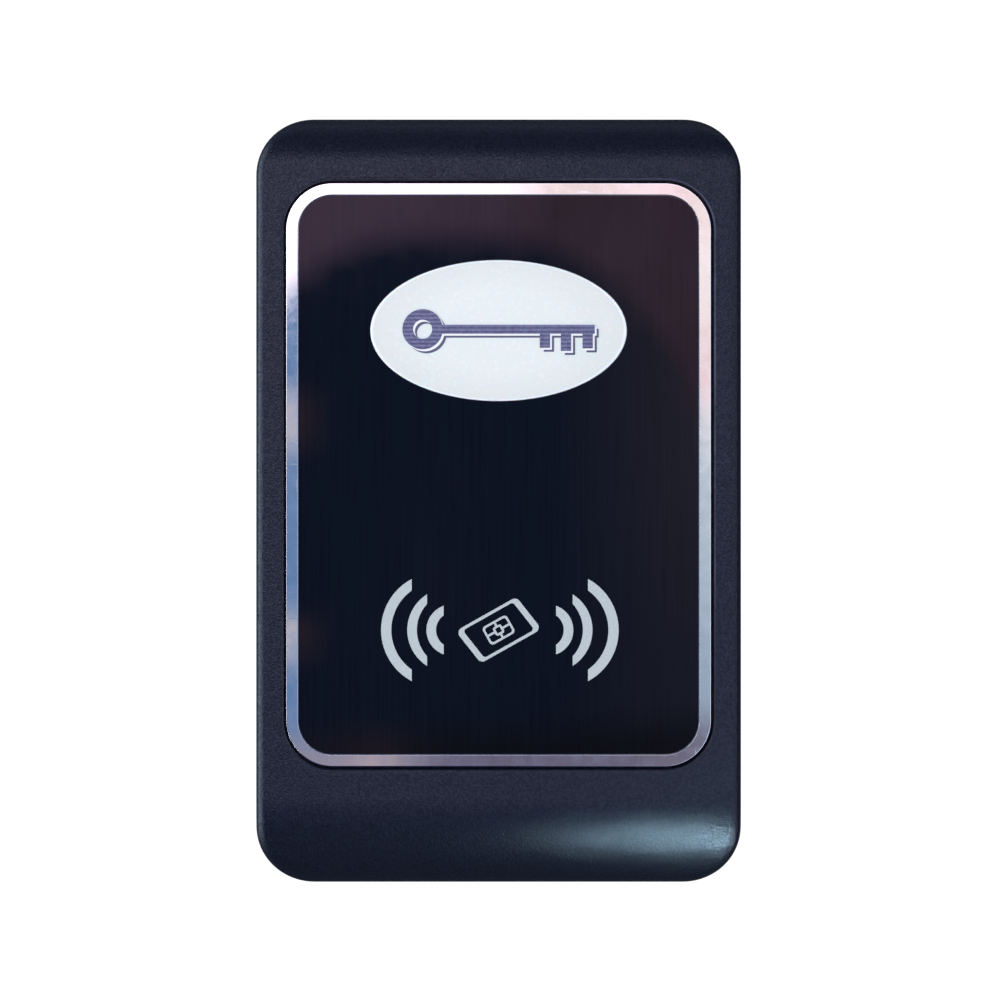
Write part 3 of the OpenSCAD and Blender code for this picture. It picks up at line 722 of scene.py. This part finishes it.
def trim_ring():
    """The mirror ring: its face with both edges just broken, the flange behind it, and four pins."""
    edge, edge_steps = 0.02 * MM, 4
    outside = (RING_W, RING_H, RING_R)
    inside = (RING_W - 2 * RING_T, RING_H - 2 * RING_T, RING_R - RING_T)
    flange = (WINDOW[0] + 2 * MM, WINDOW[1] + 2 * MM, WINDOW[2] + 1 * MM)
    flange_y = PANEL_BACK_Y + 0.2 * MM
    loops = [at_y(panel_loop(*outside), RECESS_Y)]
    loops += bevelled_edge(*outside, RING_Y, edge, edge_steps)
    loops.append(at_y(panel_loop(*outside, -edge - FLAT_FROM), RING_Y))
    loops.append(at_y(panel_loop(*inside, edge + FLAT_FROM), RING_Y))
    for i in range(edge_steps + 1):
        a = math.pi / 2 * (1 - i / edge_steps)
        loops.append(at_y(panel_loop(*inside, edge * (1 - math.cos(a))), RING_Y + edge * (1 - math.sin(a))))
    loops.append(at_y(panel_loop(*inside), flange_y))
    loops.append(at_y(panel_loop(*flange), flange_y))
    loops.append(at_y(panel_loop(*flange), RECESS_Y))
    ring = skin("ring_face", loops)
    chamfer = 0.2 * MM
    root_y, tip_y = flange_y + 0.3 * MM, ring_hi[1]
    pins = [
        turn_y("pin", [(AXIS_R, root_y), (PIN_R, root_y), (PIN_R, tip_y - chamfer),
                       (PIN_R - chamfer, tip_y), (AXIS_R, tip_y)], x, z, steps=24)
        for x, z in PIN_PLACES
    ]
    whole = join("mirror_ring", [ring, *pins])
    smooth(whole.data)
    whole.data.materials.append(mirror_trim())
    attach(whole, READER)
    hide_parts("trim_ring")


trim_ring()


def oval_loop(grow, angles):
    """Points of the oval seen from its own centre at the given angles."""
    a, b = LENS_W / 2 + grow, LENS_H / 2 + grow
    out = []
    for t in angles:
        r = a * b / math.hypot(b * math.cos(t), a * math.sin(t))
        out.append((r * math.cos(t), LENS_Z + r * math.sin(t)))
    return out


def glossy_panel():
    """The panel, with its front edges just broken and an oval hole that clears the lens."""
    edge, hole = 0.03 * MM, 0.05 * MM
    outside = (PANEL_W, PANEL_H, PANEL_R)
    outline = panel_loop(*outside)
    angles = [math.atan2(z - LENS_Z, x) for x, z in outline]
    inset = edge + FLAT_FROM
    loops = [at_y(outline, PANEL_BACK_Y)]
    loops += bevelled_edge(*outside, PANEL_Y, edge, steps=3)
    loops.append(at_y(panel_loop(*outside, -inset), PANEL_Y))
    loops.append(at_y(oval_loop(hole + inset, angles), PANEL_Y))
    loops.append(at_y(oval_loop(hole + edge, angles), PANEL_Y))
    loops.append(at_y(oval_loop(hole, angles), PANEL_Y + edge))
    loops.append(at_y(oval_loop(hole, angles), PANEL_BACK_Y))
    panel = skin("gloss_panel", loops)
    panel.data.materials.append(panel_gloss())
    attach(panel, READER)
    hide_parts("front_panel")


glossy_panel()


def lens():
    """The lens: a plug in the panel's hole with a rounded edge, and a flange behind."""
    steps, edge_steps = 192, 4
    angles = [2 * math.pi * k / steps for k in range(steps)]
    edge, flange = 0.16 * MM, 1.2 * MM
    back = lens_hi[1]
    loops = [at_y(oval_loop(flange, angles), back), at_y(oval_loop(flange, angles), PANEL_BACK_Y),
             at_y(oval_loop(0, angles), PANEL_BACK_Y)]
    for i in range(edge_steps + 1):
        a = math.pi / 2 * i / edge_steps
        loops.append(at_y(oval_loop(-edge * (1 - math.cos(a)), angles), PANEL_Y + edge * (1 - math.sin(a))))
    loops.append(at_y(oval_loop(-edge - FLAT_FROM, angles), PANEL_Y))
    shape = skin("opal_oval", loops, capped=True)
    shape.data.materials.append(opal_lens())
    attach(shape, READER)
    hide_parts("oval_lens")


lens()


# ---------------------------------------------------------------- printed marks

def shifted_print(name, source, dx, dz, front_y, material):
    """A thin copy of a printed mark, moved across the face: a drop shadow or the gap above it."""
    mesh = nodes[source].data.copy()
    mesh.name = name
    ys = [v.co.y for v in mesh.vertices]
    low, high = min(ys), max(ys)
    for v in mesh.vertices:
        v.co.x += dx
        v.co.z += dz
        v.co.y = high - (high - v.co.y) / (high - low) * (high - front_y)
    mesh.materials.clear()
    mesh.materials.append(material)
    obj = placed(name, mesh)
    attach(obj, READER)


shadow_ink = plain("shadow_ink", (0.085, 0.088, 0.155), 0.42, grain=3000, depth=1e-6)
gap_ink = plain("gap_ink", (0.86, 0.885, 0.90), 0.3, grain=3000, depth=1e-6, vary=0.02)
shifted_print("key_shadow", "key_symbol", 0.62 * MM, -0.62 * MM,
              PANEL_Y - 0.03 * MM, shadow_ink)
shifted_print("key_gap", "key_symbol", 0.3 * MM, -0.3 * MM,
              PANEL_Y - 0.06 * MM, gap_ink)


# ---------------------------------------------------------------- grommet and screws

def grommet():
    """The cable's grommet: two lips that hold the rear cover between them, and a bore."""
    x = (grommet_lo[0] + grommet_hi[0]) / 2
    z = (grommet_lo[2] + grommet_hi[2]) / 2
    lip_r = (grommet_hi[0] - grommet_lo[0]) / 2
    bore_r, neck_r = 3 * MM, 4.5 * MM
    front, back = grommet_lo[1], grommet_hi[1]
    e = 0.35 * MM
    profile = [
        (bore_r + e, front), (lip_r - e, front), (lip_r, front + e), (lip_r, cover_lo[1]),
        (neck_r, cover_lo[1]), (neck_r, cover_hi[1]), (lip_r, cover_hi[1]), (lip_r, back - e),
        (lip_r - e * 0.3, back - e * 0.3), (lip_r - e, back), (bore_r + e, back),
        (bore_r + e * 0.3, back - e * 0.3), (bore_r, back - e), (bore_r, front + e),
    ]
    obj = turn_y("grommet", profile, x, z, steps=64, sharp=50)
    obj.data.materials.append(rubber)
    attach(obj, READER)
    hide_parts("cable_grommet")


grommet()


def pan_screws(name, places, tip_y, seat_y, node):
    """Pan-head screws driven from behind: domed heads, cross slots and shanks ridged like a thread."""
    head_r, head_h, shank_r = 2.3 * MM, 1.4 * MM, 1.2 * MM
    point, half_pitch, dome_steps = 0.5 * MM, 0.22 * MM, 6
    arm, half_slot = 1.15 * MM, 0.3 * MM
    made = []
    for x, z in places:
        profile = [(AXIS_R, tip_y), (shank_r * 0.6, tip_y), (shank_r * 0.92, tip_y + point)]
        y, crest = tip_y + point, True
        while y < seat_y - 0.5 * MM:
            profile.append((shank_r if crest else shank_r * 0.86, y))
            crest = not crest
            y += half_pitch
        profile += [(shank_r * 0.9, seat_y), (head_r, seat_y), (head_r, seat_y + head_h * 0.3)]
        for i in range(1, dome_steps + 1):
            a = math.pi / 2 * i / dome_steps
            profile.append((max(head_r * math.cos(a), AXIS_R), seat_y + head_h * (0.3 + 0.7 * math.sin(a))))
        head = turn_y("screw", profile, x, z, steps=40, sharp=40)
        for across, up in ((arm, half_slot), (half_slot, arm)):
            slot = box_object("slot", (x - across, seat_y + head_h * 0.45, z - up),
                              (x + across, seat_y + head_h * 1.5, z + up))
            cut(head, slot, 40)
        made.append(head)
    obj = join(name, made)
    smooth(obj.data, 40)
    obj.data.materials.append(zinc)
    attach(obj, READER)
    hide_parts(node)


pan_screws("cover_screws", COVER_POSTS, SEAT_Y - 4 * MM, cover_hi[1], "rear_cover_screws")
pan_screws("board_fixings", BOARD_POSTS, board_lo[1] - 3.6 * MM, board_hi[1], "board_screws")


def set_screw():
    """The lock screw: a body ridged like a thread, a chamfered point, and a hexagon socket below."""
    bottom, top = lock_lo[2], lock_hi[2]
    root, crest, pitch = LOCK_R * 0.86, LOCK_R, 0.7 * MM
    profile = [(AXIS_R, bottom), (LOCK_R * 0.84, bottom), (LOCK_R * 0.96, bottom + 0.3 * MM)]
    z = bottom + 0.45 * MM
    while z < top - 0.75 * MM:
        profile += [(crest, z), (crest, z + 0.1 * MM),
                    (root, z + pitch / 2), (root, z + pitch / 2 + 0.08 * MM)]
        z += pitch
    profile += [(LOCK_R * 0.9, top - 0.5 * MM), (LOCK_R * 0.55, top), (AXIS_R, top)]
    screw = turn_z("set_screw", profile, 0, LOCK_Y, sharp=30)
    half_flat, depth, point = 1 * MM, 2 * MM, 0.35 * MM
    socket_r = half_flat / math.cos(math.pi / 6)
    hexagon = turn_z("socket", [(CUT_AXIS_R, bottom - 1 * MM), (socket_r, bottom - 1 * MM),
                                (socket_r, bottom + depth), (CUT_AXIS_R, bottom + depth + point)],
                     0, LOCK_Y, steps=6)
    cut(screw, hexagon, 30)
    screw.data.materials.append(dark_steel)
    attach(screw, "lock")
    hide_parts("lock_screw")


set_screw()


# ---------------------------------------------------------------- materials on the CAD nodes

finishes = {
    "key_symbol": hatched_ink(),
    "wave_symbols": white_ink(),
    "ring_clips": zinc,
    "panel_adhesive": foam,
    "light_box": white_plastic,
    "backlight_leds": led,
    "antenna_former": grey_plastic,
    "antenna_coil": wound_copper(),
    "main_board": circuit_board(),
    "microcontroller": epoxy,
    "reader_chip": epoxy,
    "crystal": can,
    "electrolytic_capacitors": can,
    "power_inductor": ferrite,
    "voltage_regulator": epoxy,
    "chip_passives": ceramic,
    "buzzer": black_plastic,
    "surge_diodes": epoxy,
    "terminal_header": green_plastic,
    "header_pins": gold,
    "tamper_switch": grey_plastic,
    "tamper_plunger": acetal,
    "tamper_spring": zinc,
    "rear_cover": black_plastic,
    "rear_seal": rubber,
    "wall_plate": steel,
    "lock_bracket": steel,
}
finishes["card_symbol"] = finishes["wave_symbols"]
for node, material in finishes.items():
    mesh = nodes[node].data
    if len(mesh.materials):
        for i in range(len(mesh.materials)):
            mesh.materials[i] = material
    else:
        mesh.materials.append(material)


# ---------------------------------------------------------------- studio

FRAME_W = 156.8 * MM        # what the camera sees across, at the housing's widest
CAMERA_REACH = 1.0          # from the camera to there
WIDEST_Y = FACE_Y + EDGE_R
AIM = (0.22 * MM, 0.165 * MM)   # the object stands a little off the picture's centre


def camera():
    data = bpy.data.cameras.new("camera")
    data.sensor_width = 36
    data.lens = data.sensor_width * CAMERA_REACH / FRAME_W
    data.clip_start, data.clip_end = 0.01, 20
    obj = placed("camera", data)
    obj.location = (AIM[0], WIDEST_Y - CAMERA_REACH, AIM[1])
    obj.rotation_euler = (math.pi / 2, 0, 0)
    bpy.context.scene.camera = obj


camera()


def area_light(name, at, aim, size, power, colour):
    data = bpy.data.lights.new(name, "AREA")
    data.shape = "RECTANGLE"
    data.size, data.size_y = size
    data.energy = power
    data.color = colour
    obj = placed(name, data)
    obj.location = at
    obj.rotation_euler = (Vector(aim) - Vector(at)).to_track_quat("-Z", "Y").to_euler()
    obj.visible_camera = False
    return obj


MIDDLE = (0, 0, 0)
area_light("left_softbox", (-0.93, -0.38, 0.05), MIDDLE, (0.95, 2.2), 26, (0.95, 0.98, 1.0))
area_light("right_softbox", (0.85, -0.6, 0), MIDDLE, (0.9, 1.6), 5, (0.95, 0.93, 1.0))
area_light("top_strip", (0.0, 0.05, 0.7), MIDDLE, (0.8, 0.3), 0.4, (0.8, 0.92, 1.0))
area_light("edge_strip", (-0.42, 0.0, 0.0), (0, -0.01, 0), (0.10, 0.5), 1.0, (0.7, 0.8, 1.0))

# The highlight on the foot's roll, lower right: three narrow lights from below, on the paint alone.
# Each is its name, place, aim, size, power and colour, and then its beam's spread in degrees.
low_lights = []
for *settings, spread in (
    ("low_grid", (0.046, -0.335, -0.352), (0.034, -0.0165, -0.0524),
     (0.02, 0.02), 0.005, (0.68, 0.95, 1.0), 6.4),
    ("low_wide", (0.048, -0.335, -0.352), (0.036, -0.0165, -0.0524),
     (0.02, 0.02), 0.0036, (0.68, 0.93, 1.0), 10.9),
    ("low_side", (0.26, -0.21, -0.35), (0.036, -0.021, -0.0535),
     (0.1, 0.2), 0.06, (0.9, 0.95, 1.0), 18),
):
    light = area_light(*settings)
    light.data.spread = math.radians(spread)
    light.visible_diffuse = False
    low_lights.append(light)
sheen = area_light("sheen", (-0.13, -0.52, 0.12), (-0.13, 0, 0.12), (0.26, 0.14), 0.42, (1.0, 0.8, 0.86))
paint_lights = bpy.data.collections.new("paint_lights")
paint_lights.objects.link(housing)
for light in (*low_lights, sheen):
    light.light_linking.receiver_collection = paint_lights


def soft_card(name, y, left, right, low, high):
    """An upright card that faces the object's front, and that the camera doesn't see."""
    mesh = bpy.data.meshes.new(name)
    mesh.from_pydata([(left, y, low), (right, y, low), (right, y, high), (left, y, high)], [], [(0, 3, 2, 1)])
    card = placed(name, mesh)
    card.visible_camera = False
    card.visible_shadow = False
    return card


def glowing(s, colour):
    """The surface's material, made to give off this colour and nothing else."""
    emit = s.node("ShaderNodeEmission", {"Color": colour, "Strength": 1.0})
    s.tree.nodes.remove(s.shader)
    s.tree.links.new(emit.outputs[0], s.tree.nodes["Material Output"].inputs["Surface"])
    return s.m


def front_glow():
    """A broad glow behind the camera, bright above and dim below, that the paint's face reflects."""
    glow = soft_card("front_glow", -1.5, -0.7, 1.1, -0.8, 0.42)
    s = Surface("front_glow", (0, 0, 0), 1.0)
    place = s.place()
    across = place["X"]
    tilt = s.minus(place["Z"], s.times(across, 0.3))
    below = s.mix(s.spread(across, 0.0, 0.25), (0.0, 0.0, 0.2), (1.3, 1.5, 2.0))
    above = s.mix(s.spread(across, -0.05, 0.03), (3.8, 3.0, 3.6), (2.85, 2.35, 2.75))
    above = s.mix(s.spread(across, 0.1, 0.5), above, (1.7, 1.15, 1.5))
    glow.data.materials.append(glowing(s, s.mix(s.spread(tilt, 0.09, 0.19), below, above)))


front_glow()


def mirrored_card():
    """A large soft card behind the camera: what the mirror ring and the glossy panel reflect.

    It is pale and warm above a soft curved edge, and blue, silver and mauve below it.
    """
    behind = 0.3                # from the camera back to the card
    half_w, foot, head = 45 * MM, -55 * MM, 62 * MM         # how much of the mirror's plane it fills
    card_y = WIDEST_Y - CAMERA_REACH - behind
    to_camera = RING_Y - (WIDEST_Y - CAMERA_REACH)
    grow = (to_camera + (RING_Y - card_y)) / to_camera      # the mirror's own scale at the card
    card = soft_card("mirror_card", card_y, -half_w * grow, half_w * grow, foot * grow, head * grow)
    s = Surface("mirror_card", (0, 0, 0), 1.0)
    place = s.place()
    u = s.times(place["X"], 1 / (grow * MM))                # millimetres on the mirror
    v = s.times(place["Z"], 1 / (grow * MM))

    def band(along, centre, half, soft):
        """1 within half of the centre, fading to 0 over soft."""
        return s.spread(s.math("ABSOLUTE", s.minus(along, centre)), half + soft, half)

    crest_u, crest_v, edge_soft = -15.0, 40.5, 2.6          # the edge's highest point, and its softness
    from_crest = s.minus(u, crest_u)
    right = s.math("POWER", s.math("MAXIMUM", from_crest, 0.0), 4.0)
    left = s.math("POWER", s.math("MAXIMUM", s.times(from_crest, -1.0), 0.0), 2.0)
    fall = s.plus(s.times(right, 5.4e-6), s.times(left, 0.022))
    above = s.minus(v, s.minus(crest_v, fall))
    wobble = s.times(s.minus(s.noise(14, detail=2), 0.5), 4.0)
    upper = s.spread(s.plus(above, wobble), -edge_soft, edge_soft)

    streaks = s.noise(30, (1, 1, 0.6), detail=3)
    white = (1.72, 1.51, 1.62)
    pink = s.mix(s.spread(s.noise(19, detail=2), 0.42, 0.58), (1.02, 0.66, 0.72), (0.98, 0.85, 0.82))
    rightward = s.times(s.spread(u, -14, 8), s.spread(streaks, 0.3, 0.62, 0.45, 1.0))
    bright = s.mix(rightward, white, pink)

    blue, patch, warm = (0.14, 0.25, 0.46), (0.58, 0.54, 0.60), (0.49, 0.39, 0.42)
    silver = s.mix(s.spread(v, -25, 5), (0.36, 0.45, 0.56), (0.55, 0.64, 0.70))
    lower = s.mix(s.spread(u, 8, 31), blue, silver)
    patches = s.math("MAXIMUM", band(v, 12.5, 2.5, 4), band(v, -21.5, 1.5, 3.5))
    lower = s.mix(s.times(patches, s.spread(u, -26, -31)), lower, patch)
    mauve = s.mix(s.spread(u, -18, -8), (0.33, 0.29, 0.36), (0.155, 0.135, 0.20))
    mauve = s.mix(band(u, -19.5, 1.5, 3), mauve, warm)
    lower = s.mix(s.spread(s.minus(v, s.times(u, 0.05)), -33, -39), lower, mauve)
    lower = s.mix(s.spread(streaks, 0.5, 0.8, 0.0, 0.12), lower, (0.62, 0.58, 0.62))
    card.data.materials.append(glowing(s, s.mix(upper, lower, bright)))


mirrored_card()


def floor():
    """A plain pale floor below the reader, seen only in views from above."""
    radius, drop, steps = 0.5, 70 * MM, 96
    mesh = bpy.data.meshes.new("floor")
    mesh.from_pydata([(x, y, FOOT_Z - drop) for x, y in circle_points(radius, steps)],
                     [], [tuple(range(steps))])
    obj = placed("floor", mesh)
    obj.visible_shadow = False          # lets the low light through from below
    obj.visible_glossy = False
    obj.visible_diffuse = False
    colour = (0.8, 0.8, 0.79)
    s = Surface("floor", colour, 0.7)
    broad = s.noise(9, detail=4)
    s.set("Base Color", s.mix(s.spread(broad, 0.3, 0.7), tint(colour, 0.98), tint(colour, 1.02)))
    s.set("Roughness", s.spread(broad, 0.3, 0.7, 0.62, 0.78))
    clear = s.node("ShaderNodeBsdfTransparent")         # from below it can't be seen at all
    under = s.node("ShaderNodeNewGeometry").outputs["Backfacing"]
    choose = s.node("ShaderNodeMixShader", {0: under, 1: s.shader.outputs[0], 2: clear.outputs[0]})
    s.tree.links.new(choose.outputs[0], s.tree.nodes["Material Output"].inputs["Surface"])
    mesh.materials.append(s.m)


floor()


def studio_air():
    """White behind the object, and a dimmer cool grey all round it as its light."""
    world = bpy.data.worlds.new("studio")
    bpy.context.scene.world = world
    world.use_nodes = True
    tree = world.node_tree
    tree.nodes.clear()
    out = tree.nodes.new("ShaderNodeOutputWorld")
    seen = tree.nodes.new("ShaderNodeBackground")
    seen.inputs["Color"].default_value = (1, 1, 1, 1)
    seen.inputs["Strength"].default_value = 1.05
    lit = tree.nodes.new("ShaderNodeBackground")
    lit.inputs["Color"].default_value = (0.75, 0.88, 1.0, 1)
    lit.inputs["Strength"].default_value = 0.15
    choose = tree.nodes.new("ShaderNodeMixShader")
    rays = tree.nodes.new("ShaderNodeLightPath")
    tree.links.new(rays.outputs["Is Camera Ray"], choose.inputs[0])
    tree.links.new(lit.outputs[0], choose.inputs[1])
    tree.links.new(seen.outputs[0], choose.inputs[2])
    tree.links.new(choose.outputs[0], out.inputs[0])


studio_air()
bpy.context.scene.view_settings.view_transform = "Standard"
